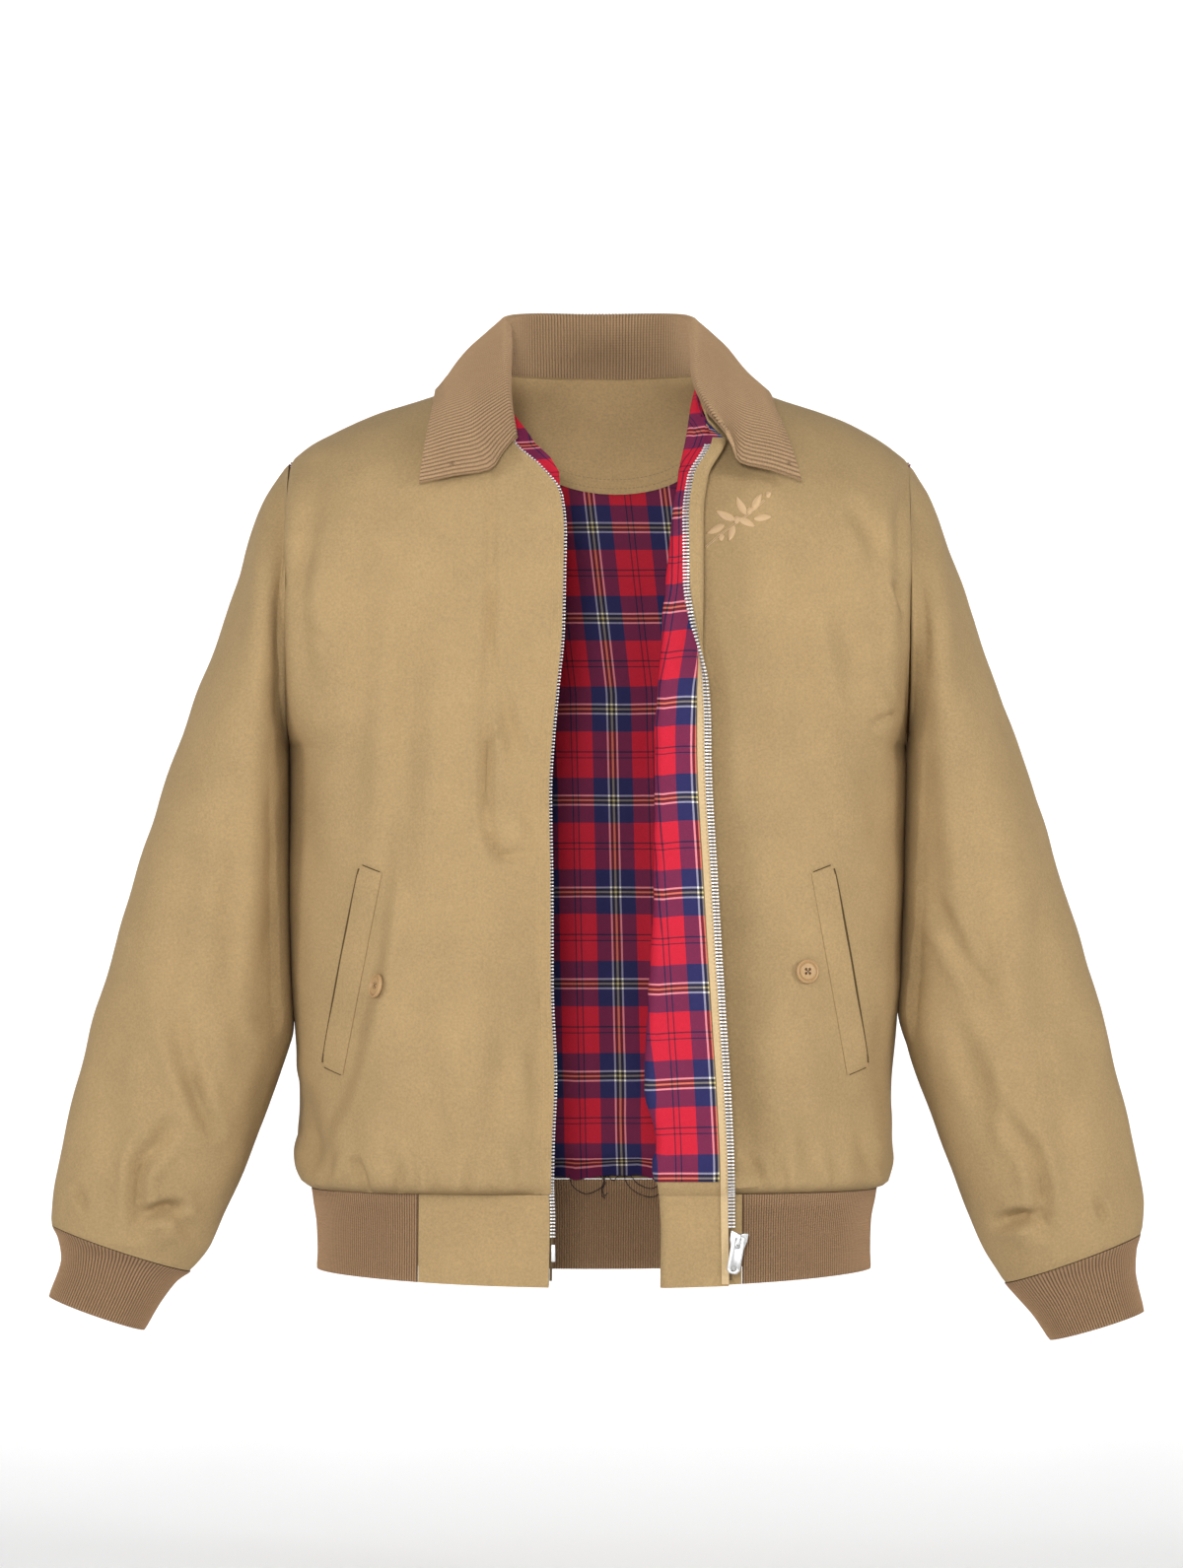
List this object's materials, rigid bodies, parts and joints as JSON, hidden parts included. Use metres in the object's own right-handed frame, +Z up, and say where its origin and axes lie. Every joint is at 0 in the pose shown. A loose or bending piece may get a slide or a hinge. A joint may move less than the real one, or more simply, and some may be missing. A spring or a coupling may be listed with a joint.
{
  "type": "harrington jacket",
  "caption": "Hip-length zip-front jacket, worn form: rib collar, cuffs and hem, slanted button pockets, tartan lining, front hanging open with one edge rolled back.",
  "frame": {"origin": "middle of the neck opening, level with the nape seam, where the wearer holds the jacket up", "axes": "+Z up, +X towards the wearer's left sleeve, -Y the way the open front faces"},
  "size_m": [0.8013, 0.2724, 0.757],
  "materials": {
    "khaki": "matte cotton twill",
    "tan_knit": "rib knit",
    "brown_knit": "rib knit",
    "tartan": "woven tartan cotton",
    "cream_tape": "woven tape",
    "silver": "bright",
    "horn": "soft gloss"
  },
  "bodies": {
    "jacket": {"back": "khaki", "back_neck_facing": "khaki", "button_left": "horn", "button_right": "horn", "collar": "tan_knit", "cuff_left": "brown_knit", "cuff_right": "brown_knit", "front_left": "khaki", "front_right": "khaki", "hem_rib": "brown_knit", "hem_tab_left": "khaki", "hem_tab_right": "khaki", "lining_back": "tartan", "lining_left": "tartan", "lining_right": "tartan", "sleeve_left": "khaki", "sleeve_right": "khaki", "welt_left": "khaki", "welt_right": "khaki", "zip_box": "silver", "zip_pin": "silver", "zip_slider": "silver", "zip_tape_left": "cream_tape", "zip_tape_right": "cream_tape", "zip_teeth_left": "silver", "zip_teeth_right": "silver"},
    "pull": {"zip_pull": "silver"}
  },
  "joints": [
    {"name": "pull_hinge", "type": "hinge", "parent": "jacket", "child": "pull", "pos_m": [0.10089, -0.12505, -0.62419], "axis": [-0.9848, 0, 0.1736], "range_deg": [0, 150]}
  ]
}
